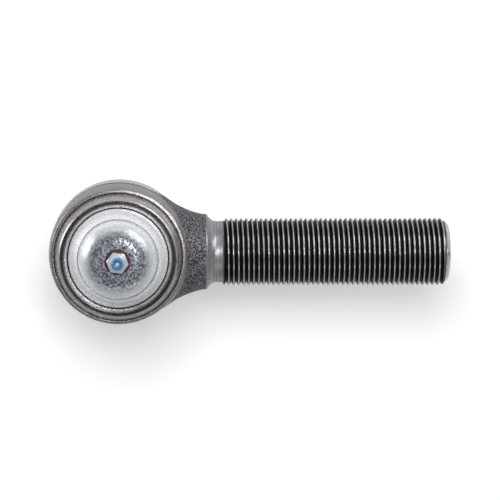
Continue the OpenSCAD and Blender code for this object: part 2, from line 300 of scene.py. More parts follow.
class Nodes:
    """Short names for building one material's nodes."""

    def __init__(self, name):
        self.material = bpy.data.materials.new(name)
        self.material.use_nodes = True
        self.tree = self.material.node_tree
        self.tree.nodes.clear()
        self.output = self.add("ShaderNodeOutputMaterial")
        self.shader = self.add("ShaderNodeBsdfPrincipled")
        self.link(self.shader.outputs["BSDF"], self.output.inputs["Surface"])
        place = self.add("ShaderNodeTexCoord")
        self.place = place.outputs["Object"]

    def add(self, kind, **settings):
        node = self.tree.nodes.new(kind)
        for key, value in settings.items():
            setattr(node, key, value)
        return node

    def link(self, source, target):
        self.tree.links.new(source, target)

    def feed(self, node, key, value):
        socket = node.inputs[key]
        if isinstance(value, bpy.types.NodeSocket):
            self.link(value, socket)
        else:
            socket.default_value = value

    def math(self, operation, a, b=0.0):
        node = self.add("ShaderNodeMath", operation=operation)
        self.feed(node, 0, a)
        self.feed(node, 1, b)
        return node.outputs[0]

    def times(self, a, b):
        return self.math("MULTIPLY", a, b)

    def plus(self, a, b):
        return self.math("ADD", a, b)

    def stretch(self, value, low, high, to_low=0.0, to_high=1.0):
        """Maps low..high onto to_low..to_high, held at the ends."""
        node = self.add("ShaderNodeMapRange", interpolation_type="SMOOTHSTEP")
        self.feed(node, "Value", value)
        self.feed(node, "From Min", low)
        self.feed(node, "From Max", high)
        self.feed(node, "To Min", to_low)
        self.feed(node, "To Max", to_high)
        return node.outputs["Result"]

    def noise(self, scale_mm, detail=3.0, rough=0.55, squeeze=None):
        """Noise whose features are about scale_mm wide, 0 to 1."""
        source = self.place
        if squeeze:
            mapping = self.add("ShaderNodeMapping")
            self.link(source, mapping.inputs["Vector"])
            mapping.inputs["Scale"].default_value = squeeze
            source = mapping.outputs["Vector"]
        node = self.add("ShaderNodeTexNoise")
        self.link(source, node.inputs["Vector"])
        node.inputs["Scale"].default_value = 1 / (scale_mm * MM)
        node.inputs["Detail"].default_value = detail
        node.inputs["Roughness"].default_value = rough
        return node.outputs["Fac"]

    def cells(self, scale_mm):
        """Distance to the nearest of points scattered about scale_mm apart."""
        node = self.add("ShaderNodeTexVoronoi", feature="F1")
        self.link(self.place, node.inputs["Vector"])
        node.inputs["Scale"].default_value = 1 / (scale_mm * MM)
        return node.outputs["Distance"]

    def mix(self, amount, a, b):
        node = self.add("ShaderNodeMix", data_type="RGBA")
        self.feed(node, 0, amount)
        for index, value in ((6, a), (7, b)):
            if isinstance(value, tuple):
                value = (*value, 1.0)
            self.feed(node, index, value)
        return node.outputs[2]

    def blend(self, amount, a, b):
        node = self.add("ShaderNodeMix", data_type="FLOAT")
        self.feed(node, 0, amount)
        self.feed(node, 2, a)
        self.feed(node, 3, b)
        return node.outputs[0]

    def layer(self, name):
        node = self.add("ShaderNodeAttribute", attribute_name=name)
        return node.outputs["Fac"]

    def radius(self, axis="Z"):
        """Distance from the stud's axis (Z) or the shank's axis (X), in mm."""
        a, b = [self.along(letter) for letter in ("XY" if axis == "Z" else "YZ")]
        return self.math("SQRT", self.plus(self.times(a, a), self.times(b, b)))

    def along(self, axis):
        """Coordinate along one axis, in mm."""
        parts = self.add("ShaderNodeSeparateXYZ")
        self.link(self.place, parts.inputs[0])
        return self.math("DIVIDE", parts.outputs[axis], MM)

    def lines(self, along, width_mm):
        """Fine turning lines: uneven noise of one coordinate only."""
        combine = self.add("ShaderNodeCombineXYZ")
        self.link(self.math("DIVIDE", along, width_mm), combine.inputs[0])
        node = self.add("ShaderNodeTexNoise")
        self.link(combine.outputs[0], node.inputs["Vector"])
        node.inputs["Scale"].default_value = 1.0
        node.inputs["Detail"].default_value = 2.0
        return node.outputs["Fac"]

    def bump(self, height, depth_mm, strength=1.0):
        node = self.add("ShaderNodeBump")
        node.inputs["Strength"].default_value = strength
        node.inputs["Distance"].default_value = depth_mm * MM
        self.link(height, node.inputs["Height"])
        self.link(node.outputs["Normal"], self.shader.inputs["Normal"])

    def surface(self, color, rough, metallic=1.0, **more):
        self.feed(self.shader, "Base Color", (*color, 1.0) if isinstance(color, tuple) else color)
        self.feed(self.shader, "Roughness", rough)
        self.feed(self.shader, "Metallic", metallic)
        for key, value in more.items():
            self.feed(self.shader, key.replace("_", " "), value)
        return self.material


# ---------------------------------------------------------------- materials


def housing_steel():
    """Dark forged skin, turned rings on the head, polished relief, thread crests painted bright (clean
    steel plus a painted highlight) and flanks painted dark (oil plus painted shade).
    """
    n = Nodes("housing_steel")
    turned, polished = n.layer("turned"), n.layer("polished")
    thread, crest, lip = n.layer("thread"), n.layer("crest"), n.layer("lip")
    grain = n.noise(0.6, 4.0, 0.75)
    patches = n.noise(6.0, 3.0)
    pits = n.cells(0.9)
    forged = n.mix(n.stretch(grain, 0.45, 0.63), (0.011, 0.011, 0.012), (0.44, 0.43, 0.46))
    forged = n.mix(n.stretch(patches, 0.45, 0.75, 0, 0.35), forged, (0.2, 0.195, 0.2))
    reach = n.plus(n.radius("Z"), n.along("Z"))
    fine_rings = n.times(n.lines(reach, 0.2), 0.35)
    rings = n.plus(fine_rings, n.times(n.lines(reach, 0.7), 0.65))
    mottle, smudge = n.noise(1.3, 4.0, 0.65), n.noise(4.5, 4.0, 0.6)
    skin = n.mix(n.stretch(rings, 0.38, 0.62), (0.3, 0.285, 0.29), (0.86, 0.83, 0.84))
    skin = n.mix(n.stretch(mottle, 0.45, 0.72, 0, 0.45), skin, (0.28, 0.255, 0.25))
    skin = n.mix(n.stretch(smudge, 0.5, 0.72, 0, 0.5), skin, (0.22, 0.205, 0.205))
    band = n.mix(n.stretch(mottle, 0.4, 0.7), (0.8, 0.84, 0.9), (0.62, 0.66, 0.72))
    skin = n.mix(n.layer("plated"), skin, band)
    skin = n.mix(n.times(n.layer("upper_wall"), 0.55), skin, (0.22, 0.21, 0.215))
    # painted shade in the creases and grooves of the "lip" zone
    skin = n.mix(n.times(lip, n.stretch(grain, 0.25, 0.6, 1.0, 0.8)), skin, (0.01, 0.0095, 0.01))
    # thread flanks: oily dark steel, deepened by painted shade
    flank_oil_and_shade = n.mix(n.stretch(grain, 0.3, 0.7), (0.012, 0.012, 0.013), (0.05, 0.05, 0.054))
    # thread crests: clean steel, brightened into a painted highlight
    crest_steel_and_highlight = n.mix(n.stretch(mottle, 0.35, 0.7), (0.88, 0.88, 0.9), (0.56, 0.56, 0.57))
    cuts = n.lines(n.along("X"), 0.45)
    bright = n.mix(n.stretch(cuts, 0.35, 0.65), (0.3, 0.3, 0.31), (0.66, 0.66, 0.68))
    bright = n.mix(n.stretch(mottle, 0.45, 0.75, 0, 0.6), bright, (0.2, 0.2, 0.21))
    color = n.mix(turned, forged, skin)
    color = n.mix(polished, color, bright)
    color = n.mix(thread, color, flank_oil_and_shade)
    color = n.mix(crest, color, crest_steel_and_highlight)
    # the shank's end chamfer and face: turned steel painted brighter as a highlight
    end_steel_and_highlight = n.mix(n.stretch(mottle, 0.4, 0.7), (0.93, 0.93, 0.94), (0.7, 0.7, 0.72))
    color = n.mix(n.layer("end"), color, end_steel_and_highlight)
    # a few specks of yellow paint on the end's chamfer
    paint = n.times(n.layer("end"), n.stretch(n.noise(1.3, 2.0, 0.5), 0.6, 0.63))
    paint = n.times(paint, n.stretch(n.radius("X"), 11.0, 11.8))
    color = n.mix(paint, color, (0.62, 0.4, 0.03))
    rough = n.blend(turned, n.stretch(grain, 0.2, 0.8, 0.42, 0.62), n.stretch(mottle, 0.3, 0.7, 0.24, 0.34))
    rough = n.blend(polished, rough, n.stretch(smudge, 0.3, 0.7, 0.3, 0.42))
    rough = n.blend(thread, rough, 0.34)
    rough = n.blend(crest, rough, 0.22)
    height = n.plus(n.times(grain, 0.7), n.times(pits, 0.5))
    height = n.blend(turned, height, n.times(rings, 0.004))
    height = n.blend(polished, height, n.times(mottle, 0.06))
    height = n.blend(thread, height, n.times(grain, 0.1))
    n.bump(height, 0.12, 0.8)
    metal = n.blend(thread, n.blend(polished, n.blend(turned, 0.6, 0.85), 0.88), 0.97)
    n.feed(n.shader, "Metallic", n.blend(lip, n.blend(crest, metal, 0.88), 1.0))
    n.feed(n.shader, "Base Color", color)
    n.feed(n.shader, "Roughness", rough)
    return n.material


def zinc(name, tint, rough, dark_middle=0.0, middle_mm=13.0, metallic=0.85, tip=False):
    """Zinc plate with fine spangle and handling marks; the cap's middle is mottled dark."""
    n = Nodes(name)
    spangle = n.noise(0.9, 2.0, 0.5)
    cloud = n.noise(3.2, 4.0, 0.6)
    scratch = n.noise(1.1, 2.0, 0.5, squeeze=(0.3, 1.0, 1.0))
    darker = tuple(0.88 * t for t in tint)
    color = n.mix(n.stretch(spangle, 0.35, 0.7), tint, darker)
    color = n.mix(n.stretch(cloud, 0.42, 0.72, 0, 0.5), color, tuple(0.66 * t for t in tint))
    if dark_middle:
        # outwards: a mottled dark middle, pale metal crossed by painted shade in the step's crease, and
        # painted shade at the rim where the cap goes under the housing's lip
        radius = n.radius("Z")
        # painted shade at the rim, in the gap under the housing's lip
        cap_rim_shade = n.stretch(radius, 20.45, 20.7)
        color = n.mix(cap_rim_shade, color, (0.05, 0.05, 0.055))
        shoulder = n.stretch(radius, 13.5, 16.5)
        above_foot = n.math("SUBTRACT", 1.0, cap_rim_shade)
        color = n.mix(n.times(shoulder, above_foot), color, (0.95, 0.97, 0.985))
        metallic = n.blend(shoulder, metallic, 0.4)
        # painted shade in the step's crease
        cap_step_shade = n.times(n.stretch(radius, 16.3, 16.5), n.stretch(radius, 16.7, 17.0, 1, 0))
        color = n.mix(n.times(cap_step_shade, 0.75), color, (0.06, 0.065, 0.075))
        inside = n.stretch(radius, middle_mm - 3.0, middle_mm + 1.5, 1.0, 0.0)
        specks = n.stretch(n.noise(0.9, 4.0, 0.75), 0.4, 0.58, 0.35, 1.0)
        amount = n.times(inside, n.times(specks, dark_middle))
        color = n.mix(amount, color, (0.02, 0.03, 0.07))
    if tip:
        color = n.mix(n.layer("tip"), color, (0.1, 0.26, 0.5))
    value = n.stretch(spangle, 0.3, 0.75, rough * 0.8, rough * 1.4)
    height = n.blend(0.5, spangle, scratch)
    n.bump(height, 0.008, 0.8)
    return n.surface(color, value, metallic=metallic)


def plain_steel(name, light, dark, rough, lines_axis="Z", line_mm=0.2, metallic=1.0):
    """Ground or drawn steel: fine lines across one axis, oil clouds and small marks."""
    n = Nodes(name)
    lines = n.lines(n.along(lines_axis), line_mm)
    cloud = n.noise(3.0, 4.0, 0.6)
    marks = n.noise(0.5, 4.0, 0.7)
    color = n.mix(n.stretch(lines, 0.35, 0.65), dark, light)
    color = n.mix(n.stretch(cloud, 0.45, 0.75, 0, 0.5), color, tuple(0.55 * d for d in dark))
    value = n.stretch(marks, 0.3, 0.7, rough * 0.8, rough * 1.4)
    height = n.blend(0.5, lines, marks)
    n.bump(height, 0.02, 0.8)
    return n.surface(color, value, metallic=metallic)


def boot_rubber():
    """Matt moulded rubber with fine grain and a little pale dust."""
    n = Nodes("boot_rubber")
    grain = n.noise(0.25, 3.0, 0.6)
    dust = n.noise(4.0, 5.0, 0.7)
    color = n.mix(n.stretch(grain, 0.3, 0.7), (0.012, 0.012, 0.013), (0.028, 0.028, 0.03))
    color = n.mix(n.stretch(dust, 0.5, 0.8, 0, 0.3), color, (0.09, 0.085, 0.08))
    n.bump(n.plus(grain, n.times(dust, 0.6)), 0.05, 0.7)
    return n.surface(color, n.stretch(dust, 0.3, 0.7, 0.48, 0.66), metallic=0.0)


def red_rubber():
    """Worn dark red rubber."""
    n = Nodes("red_seal")
    grain = n.noise(0.3, 3.0, 0.6)
    worn = n.noise(1.6, 4.0, 0.65)
    color = n.mix(n.stretch(worn, 0.4, 0.7), (0.085, 0.01, 0.007), (0.04, 0.008, 0.006))
    n.bump(grain, 0.03, 0.7)
    return n.surface(color, n.stretch(grain, 0.3, 0.7, 0.35, 0.5), metallic=0.0)


def bearing_bronze():
    """Turned bronze with open pores."""
    n = Nodes("bearing_bronze")
    lines = n.lines(n.along("Z"), 0.25)
    pores = n.noise(0.4, 4.0, 0.7)
    color = n.mix(n.stretch(lines, 0.3, 0.7), (0.5, 0.33, 0.14), (0.62, 0.43, 0.2))
    color = n.mix(n.stretch(pores, 0.55, 0.7), color, (0.22, 0.13, 0.06))
    n.bump(n.plus(lines, pores), 0.02, 0.7)
    return n.surface(color, n.stretch(pores, 0.3, 0.7, 0.28, 0.45))


def floor_white():
    """Pale paper: white to the camera, and dimmer in reflections so that bright metal keeps its edges."""
    n = Nodes("studio_floor")
    tooth = n.noise(1.5, 3.0)
    path = n.add("ShaderNodeLightPath")
    color = n.mix(n.stretch(tooth, 0.3, 0.7), (0.93, 0.93, 0.93), (0.95, 0.95, 0.95))
    color = n.mix(path.outputs["Is Glossy Ray"], color, (0.5, 0.5, 0.51))
    glow = n.times(path.outputs["Is Camera Ray"], 0.15)
    n.surface(color, 0.9, metallic=0.0, Emission_Color=(1.0, 1.0, 1.0, 1.0), Emission_Strength=glow)
    n.shader.inputs["Specular IOR Level"].default_value = 0.0
    return n.material


MATERIALS = {
    "housing": housing_steel(),
    "cap": zinc("cap_zinc", (0.86, 0.9, 0.92), 0.3, dark_middle=0.95, metallic=0.6),
    "ring": zinc("ring_zinc", (0.82, 0.87, 0.93), 0.26, metallic=0.8),
    "fitting": zinc("fitting_blue_zinc", (0.8, 0.9, 1.0), 0.2, metallic=0.6, tip=True),
    "check_ball": plain_steel("check_ball_steel", (0.95, 0.86, 0.72), (0.8, 0.7, 0.56), 0.3, metallic=0.4),
    "nut": zinc("nut_yellow_zinc", (0.6, 0.5, 0.25), 0.3),
    "stud": plain_steel("stud_ground_steel", (0.5, 0.5, 0.51), (0.34, 0.34, 0.35), 0.24),
    "spring": plain_steel("spring_steel", (0.3, 0.31, 0.33), (0.2, 0.2, 0.22), 0.32),
    "pin": plain_steel("pin_steel", (0.55, 0.55, 0.55), (0.4, 0.4, 0.4), 0.3, "Y"),
    "bronze": bearing_bronze(),
    "boot": boot_rubber(),
    "red": red_rubber(),
    "floor": floor_white(),
}


def dress(piece, material):
    """Gives a piece its material."""
    piece.data.materials.clear()
    piece.data.materials.append(MATERIALS[material])


def put(piece, node, body, material):
    """A finished piece that stands for a CAD node, rides on its body and takes a material."""
    dress(piece, material)
    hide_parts(node)
    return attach(piece, body)


def bend_piece(piece, node, material):
    """Gives a soft piece its material, hides its CAD node and bakes its place into its points."""
    dress(piece, material)
    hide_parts(node)
    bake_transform(piece)


# ---------------------------------------------------------------- the housing

NECK_FADE = 30.0        # x where the flared neck hands over to the turned neck
NECK_CAP_X = 33.0       # x where the head's own part of the neck ends, inside the turned one
NECK_END_X = 37.4
RELIEF_R = 12.95
THREAD_START_X = 43.5
REGISTER_R = HEAD_R - 1.75
REGISTER_TOP = RETAINER_HIGH[2] + 0.05
NECK_START_X = 29.6     # x where the turned neck starts, inside the head
NECK_TUCK = 0.06        # how far the part that is inside stays under the other at the handover
BAND_TOP = -2.8         # top of the bright band round the head, under a shallow groove


def neck_radius(x):
    """Radius of the forged neck about the shank's axis: a flare that dies out at its end."""
    knots_x = [0.0, 15.0, 19.0, 21.8, 24.4, 27.2, 31.5, 34.8, NECK_END_X]
    knots_r = [24.4, 24.0, 23.4, 21.7, 20.05, 18.7, 17.0, 16.1, 15.9]
    return np.interp(x, knots_x, knots_r)


def head_wall_radius(z):
    """Radius of the head's outer wall: a barrel that pulls in a little towards the shoulder."""
    knots_z = [REGISTER_TOP, REGISTER_TOP + 0.5, REGISTER_TOP + 1.4, -15.0, BAND_TOP - 0.25, BAND_TOP,
               BAND_TOP + 0.35, BAND_TOP + 4.2, BAND_TOP + 4.6, BAND_TOP + 5.0, 10.0, 16.0, 18.8, 19.3]
    inset = [1.2, 0.6, 0.25, 0.0, 0.0, 0.08, 0.5, 0.5, 0.2, 0.1, 0.15, 0.65, 1.12, 1.3]
    return HEAD_R - np.interp(z, knots_z, inset)


def neck_reach(turn, z):
    """How far out from the stud's axis the neck extends at each angle and height."""
    turn, z = np.broadcast_arrays(turn, z)
    ahead = np.cos(turn) > 0.05
    # each round halves the interval that holds the neck's surface
    halvings, beyond_neck = 26, 45.0
    low = np.zeros(turn.shape)
    high = np.full(turn.shape, beyond_neck)
    for _ in range(halvings):
        middle = (low + high) / 2
        x = middle * np.cos(turn)
        fade = NECK_TUCK * step_up(x, NECK_FADE, NECK_CAP_X)
        inside = np.hypot(middle * np.sin(turn), z) < neck_radius(x) - fade
        low = np.where(inside, middle, low)
        high = np.where(inside, high, middle)
    reach = np.minimum(low, NECK_CAP_X / np.maximum(np.cos(turn), 0.05))
    return np.where(ahead, reach, 0.0)


def blended_max(a, b, width):
    """The larger of a and b, with a fillet where they meet."""
    near = np.maximum(width - np.abs(a - b), 0) / width
    return np.maximum(a, b) + near * near * width / 4


def crown_outline():
    """Shoulder, stepped groove, swaged crown, the lip over the cap's rim, and the socket inside."""
    points = [
        (HEAD_R - 1.15, 19.62), (27.0, 19.78), (26.55, 19.2), (26.3, 20.2),
        (24.6, CROWN_Z - 0.45), (23.85, CROWN_Z), (23.35, 25.9), (23.0, 25.15),
        (22.1, 24.92), (21.15, 24.35), (20.95, 24.0), (21.0, 23.64), (23.23, 23.64),
        (23.23, 20.68), (22.2, 20.68), (22.2, -8.0), (17.8, -13.5), (21.2, HEAD_BOTTOM),
    ]
    radii = [0.35, 0.3, 0.15, 0.2, 0.9, 0.5, 0.3, 0.25, 0.9, 0.4, 0.15, 0, 0.1, 0.1, 0.3, 1, 1, 0.5]
    return rounded(points, radii, steps=6)


def head_solid(columns=512):
    """Head and socket as one closed ring of outlines, with the neck's flare grown from the wall."""
    turn = np.linspace(0, 2 * math.pi, columns, endpoint=False)
    wall_z = np.concatenate([
        np.linspace(REGISTER_TOP, REGISTER_TOP + 3, 13)[:-1],
        np.linspace(REGISTER_TOP + 3, BAND_TOP - 0.4, 28)[:-1],
        np.linspace(BAND_TOP - 0.4, BAND_TOP + 5.2, 33)[:-1],
        np.linspace(BAND_TOP + 5.2, 14.0, 26)[:-1],
        np.linspace(14.0, 19.3, 24),
    ])
    register = [(REGISTER_R - 0.8, HEAD_BOTTOM), (REGISTER_R - 0.35, HEAD_BOTTOM + 0.15),
                (REGISTER_R, HEAD_BOTTOM + 0.6), (REGISTER_R, REGISTER_TOP)]
    points = [ring_points(radius, z, turn) for radius, z in register]
    fillet = 2.6
    for z in wall_z:
        radius = blended_max(np.full(columns, head_wall_radius(z)), neck_reach(turn, z), fillet)
        points.append(ring_points(radius, z, turn))
    points += [ring_points(radius, z, turn) for radius, z in crown_outline()]
    faces = grid_faces(len(points), columns, close_rows=True)
    return weld(make_mesh("housing_head", np.concatenate(points), faces))


def thread_height(fraction):
    """Height of a V-thread, 0 at the root and 1 at the crest, for a fraction of one pitch."""
    knots = [0.0, 0.055, 0.085, 0.41, 0.435, 0.565, 0.59, 0.915, 0.945, 1.0]
    heights = [0.0, 0.0, 0.04, 0.955, 1.0, 1.0, 0.955, 0.04, 0.0, 0.0]
    return np.interp(fraction, knots, heights)


THREAD_STATIONS = [0.0, 0.055, 0.085, 0.25, 0.41, 0.435, 0.5, 0.565, 0.59, 0.75, 0.915, 0.945]


def turned_solid(name, before, after, thread, columns=144, to_frame=None):
    """A solid turned about +X: plain rings (x, radius), a right-hand helical thread, plain rings.

    thread is (start, end, pitch, crest radius, depth, envelope). The helix is closed by joining
    the last column of each row to the first column of the same station one turn further on.
    """
    turn = np.arange(columns) / columns
    start, end, pitch, crest_r, depth, envelope = thread
    first, last = math.floor(start / pitch) - 2, math.ceil(end / pitch)
    rows = [(np.full(columns, float(x)), np.full(columns, float(r))) for x, r in before]
    helix_from = len(rows)
    for k in range(first, last + 1):
        for fraction in THREAD_STATIONS:
            x = np.clip((k + fraction + turn) * pitch, start, end)
            rows.append((x, np.minimum(crest_r - depth * (1 - thread_height(fraction)), envelope(x))))
    helix_to = len(rows)
    rows += [(np.full(columns, float(x)), np.full(columns, float(r))) for x, r in after]
    angle = 2 * math.pi * turn
    points = np.concatenate([np.stack([x, r * np.cos(angle), r * np.sin(angle)], -1) for x, r in rows])
    if to_frame is not None:
        points = points @ np.array(to_frame, float).T
    faces = grid_faces(len(rows), columns)
    stations = len(THREAD_STATIONS)
    for row in range(helix_from, helix_to - 1):
        corner = min(row + stations, helix_to - 1), min(row + 1 + stations, helix_to - 1)
        faces[row * columns + columns - 1] = [
            row * columns + columns - 1, corner[0] * columns,
            corner[1] * columns, (row + 1) * columns + columns - 1,
        ]
    faces += cap_ends(len(rows), columns)
    return weld(make_mesh(name, points, faces))


def shank_envelope(x):
    """Largest radius the shank may have: a run-in at the relief and the chamfer at the end."""
    run_in = np.interp(x, [THREAD_START_X, THREAD_START_X + 1.2], [RELIEF_R, SHANK_R])
    chamfer = np.interp(x, [SHANK_END - 2.6, SHANK_END], [SHANK_R - 0.02, 11.55])
    return np.minimum(run_in, chamfer)


def shank_solid():
    """Turned neck end, relief and threaded shank, to be joined to the head."""
    before = [
        (x, neck_radius(x) - NECK_TUCK * (1 - step_up(x, NECK_START_X, NECK_START_X + 2.2)))
        for x in np.linspace(NECK_START_X, NECK_END_X - 0.5, 22)
    ]
    before += [
        (NECK_END_X - 0.2, 15.82), (NECK_END_X, 15.6), (NECK_END_X + 0.04, 15.1),
        (38.0, 14.6), (38.7, 13.9), (39.3, 13.5), (39.9, 13.2), (40.5, 13.02),
        (41.2, RELIEF_R), (42.4, RELIEF_R),
    ]
    after = [
        (SHANK_END, 11.0), (SHANK_END, 6.0), (SHANK_END, 3.2), (SHANK_END - 0.3, 2.9),
        (SHANK_END - 2.4, 1.2), (SHANK_END - 4.2, 1.1),
    ]
    thread = (THREAD_START_X, SHANK_END, SHANK_PITCH, SHANK_R, THREAD_DEPTH, shank_envelope)
    return turned_solid("housing_shank", before, after, thread)


def housing_piece():
    """Head and shank as one solid, with its zones stored for the material."""
    piece = join_solids(head_solid(), shank_solid())
    piece.name = "housing_forging"
    weld(piece, 0.004)
    p = coordinates(piece)
    x, y, z = p[:, 0], p[:, 1], p[:, 2]
    rho, about_shank = np.hypot(x, y), np.hypot(y, z)
    # the head: forged where the neck stands out of the turned wall, and turned elsewhere
    outside_wall = step_up(rho - head_wall_radius(z), 0.12, 0.7)
    level = (z > REGISTER_TOP - 0.02) & (z < 19.5)
    forged = np.where(level, outside_wall, 0.0) * (1 - step_up(x, NECK_END_X - 0.6, NECK_END_X + 0.1))
    on_wall = np.where(level, 1 - outside_wall, 0.0) * (rho > REGISTER_R + 0.2)
    groove_end = step_up(z, BAND_TOP + 4.2, BAND_TOP + 5.6)
    # the shank: polished relief, thread flanks darkened by oil and painted shade, crests and end painted
    # bright as clean steel with a painted highlight
    on_shank = x > NECK_END_X - 0.6
    run_in = step_up(x, THREAD_START_X + 0.2, THREAD_START_X + 1.0)
    thread = on_shank * run_in
    end = on_shank * step_up(x, SHANK_END - 1.9, SHANK_END - 1.5)
    # the crest zone carries a painted highlight on clean steel
    crest = step_up(about_shank, SHANK_R - 0.09, SHANK_R - 0.03) * thread
    # painted shade: dark lines in the crease beside the swaged lip, in the shoulder's step and in the
    # groove above the band
    lip_crease_shade = ((z > 24.95) & within(rho, 22.85, 23.95)) | (within(z, 23.3, 24.5) & (rho < 21.2))
    step_crease_shade = within(z, 18.9, 19.7) & within(rho, 26.2, 26.85)
    band_groove_shade = on_wall * step_up(z, BAND_TOP - 0.05, BAND_TOP + 0.3) * (1 - groove_end)
    lines = np.maximum(1.0 * lip_crease_shade, 0.85 * step_crease_shade)
    zones = {
        "turned": np.where(on_shank, 0.0, 1 - forged),
        "polished": on_shank * (1 - run_in),
        "thread": thread,
        "crest": np.maximum(crest, end),
        # the band groove's painted shade is deeper towards +Y
        "lip": np.maximum(lines, (0.7 + 0.28 * y / HEAD_R) * band_groove_shade),
        "plated": on_wall * (1 - step_up(z, BAND_TOP - 0.3, BAND_TOP)),
        "upper_wall": on_wall * groove_end,
        "end": end,
    }
    for name, values in zones.items():
        store(piece, name, values)
    skin = 0.05 * lumps(p, 1.7, 3) + 0.035 * lumps(p, 0.8, 5) + 0.07 * lumps(p, 5.0, 7)
    p = p + vertex_normals(piece) * (skin * forged)[:, None]
    set_coordinates(piece, p)
    return smooth(piece, 40)


# ---------------------------------------------------------------- swept wire


def sweep(name, path, section, closed=False, side=(0, 0, 1)):
    """Runs a section (list of (out, side) offsets) along a path; side stays near one direction."""
    path = np.array(path, float)
    count = len(path)
    if closed:
        along = np.roll(path, -1, 0) - np.roll(path, 1, 0)
    else:
        along = np.gradient(path, axis=0)
    along /= np.linalg.norm(along, axis=1)[:, None]
    side = np.array(side, float)
    if side.ndim == 1:
        side = np.repeat(side[None], count, 0)
    out = np.cross(along, side)
    out /= np.linalg.norm(out, axis=1)[:, None]
    side = np.cross(out, along)
    section = np.array(section, float)
    points = (
        path[:, None, :]
        + out[:, None, :] * section[None, :, 0, None]
        + side[:, None, :] * section[None, :, 1, None]
    ).reshape(-1, 3)
    columns = len(section)
    faces = grid_faces(count, columns, close_rows=closed)
    if not closed:
        faces += cap_ends(count, columns)
    return smooth(weld(make_mesh(name, points, faces), 0.0005), 50)


def round_section(radius, sides=12):
    a = np.linspace(0, 2 * math.pi, sides, endpoint=False)
    return np.stack([radius * np.cos(a), radius * np.sin(a)], -1)


def coil(name, r_low, r_high, z_low, z_high, turns, wire_r, sides=14, steps=48):
    """Conical compression spring whose first and last part turns lie almost flat."""
    flat_turn = 0.4
    t = np.linspace(0, turns, int(turns * steps) + 1)
    climb = np.clip((t - flat_turn) / (turns - 2 * flat_turn), 0, 1)
    climb = climb * 0.94 + 0.06 * t / turns
    radius = r_low + (r_high - r_low) * t / turns
    angle = 2 * math.pi * t
    path = np.stack([radius * np.cos(angle), radius * np.sin(angle), z_low + (z_high - z_low) * climb], -1)
    return sweep(name, path, round_section(wire_r, sides))


def garter(name, ring_r, ring_z, tube_r, wire_r, coils):
    """Closely wound wire bent into a ring."""
    t = np.linspace(0, 2 * math.pi, coils * 9, endpoint=False)
    wound = coils * t
    r = ring_r + (tube_r - wire_r) * np.cos(wound)
    z = ring_z + (tube_r - wire_r) * np.sin(wound)
    path = np.stack([r * np.cos(t), r * np.sin(t), z], -1)
    side = np.stack([-np.sin(t), np.cos(t), np.zeros(len(t))], -1)
    return sweep(name, path, round_section(wire_r, 6), closed=True, side=side)


# ---------------------------------------------------------------- turned pieces


def cap_piece():
    """Pressed cap: rim under the lip, steep shoulder, a rolled step and a dome."""
    wall, step_r, step_z, top_r, hole_r, inner_r = 2.6, 16.8, 29.8, 6.4, 3.21, 18.0
    rim_r, rim_low, top_z = CAP_HIGH[0], CAP_LOW[2], CAP_HIGH[2]

    def dome(t, drop):
        start_r = step_r - 0.4 - 0.75 * drop
        return (
            start_r - (start_r - top_r) * (1 - math.cos(math.pi / 2 * t)),
            step_z - 0.55 * drop + (top_z - step_z - 0.45 * drop) * math.sin(math.pi / 2 * t),
        )

    steps = 28
    outside = [(hole_r, top_z), (3.6, top_z)] + [dome(i / steps, 0) for i in range(steps, 0, -1)]
    step = rounded(
        [dome(1 / steps, 0), (16.36, step_z + 0.1), (16.55, step_z - 0.12), (16.95, step_z),
         (20.6, 24.4), (20.75, 23.7), (rim_r, 23.6), (rim_r, rim_low), (inner_r, rim_low),
         (inner_r, 23.4)],
        [0, 0.15, 0.12, 0.35, 0.5, 0.2, 0.3, 0.3, 0.3, 0], steps=4)
    inside = [dome(i / steps, wall) for i in range(steps + 1)] + [(hole_r, top_z - wall)]
    return lathe("cap_shell", outside + step[1:] + inside, 256)


def retainer_piece():
    """Plated ring pressed on the head's lower end, over the boot's bead."""
    outer = RETAINER_HIGH[0]
    top, bottom = RETAINER_HIGH[2], RETAINER_LOW[2]
    inner = REGISTER_R + 0.03
    outline = [(inner, top), (outer - 0.5, top), (outer, top - 0.8), (outer - 0.55, bottom),
               (25.2, bottom), (25.2, bottom + 1), (inner, bottom + 1)]
    return lathe("retainer_shell", rounded(outline, [0.15, 0.2, 0.6, 0.9, 0.35, 0.3, 0.5]), 256)


def seal_piece():
    """Soft washer under the grease fitting's hexagon."""
    inner, outer, low, high = 3.275, SEAL_HIGH[0], SEAL_LOW[2], SEAL_HIGH[2]
    outline = [(inner, low), (outer, low), (outer, high), (inner, high)]
    return lathe("seal_ring", rounded(outline, [0.1, 0.3, 0.45, 0.1]), 128)


def boot_outline():
    """Outer and inner walls of the boot, from the bead down to the collar."""
    bead_top, bead_r, lip_r = BOOT_HIGH[2], REGISTER_R - 0.2, 25.0
    ring_z = (GARTER_LOW[2] + GARTER_HIGH[2]) / 2
    low = BOOT_LOW[2]
    outer = rounded(
        [(22.2, bead_top), (bead_r, bead_top), (bead_r, -24.5), (lip_r, -24.5), (24.7, -26.4),
         (25.3, -28.4), (25.7, -30.6), (25.7, -32.2), (25.1, -33.8), (23.2, -35.6), (20.4, -37.0),
         (17.6, ring_z + 1.6), (17.0, ring_z + 1.2), (16.4, ring_z + 0.6), (16.4, ring_z - 0.6),
         (17.1, ring_z - 1.3), (16.9, low + 0.1), (14.2, low), (13.8, -41.3)],
        [0, 0.3, 0.3, 0.3, 1.2, 1.5, 1.5, 1.5, 1.5, 1.5, 1.5, 0.4, 0.2, 0.3, 0.3, 0.3, 0.3, 0.2, 0],
        steps=6)
    inner = rounded(
        [(13.8, -41.3), (13.8, -37.6), (16.6, -36.4), (19.6, -35.5), (22.5, -34.4), (23.9, -33.1),
         (24.1, -31.8), (23.9, -30.4), (23.2, -28.4), (22.4, -26.0), (22.2, bead_top)],
        [0, 0.4, 1.5, 1.5, 1.2, 0.8, 0.8, 1, 1.5, 1, 0], steps=6)
    return np.array(outer), np.array(inner)


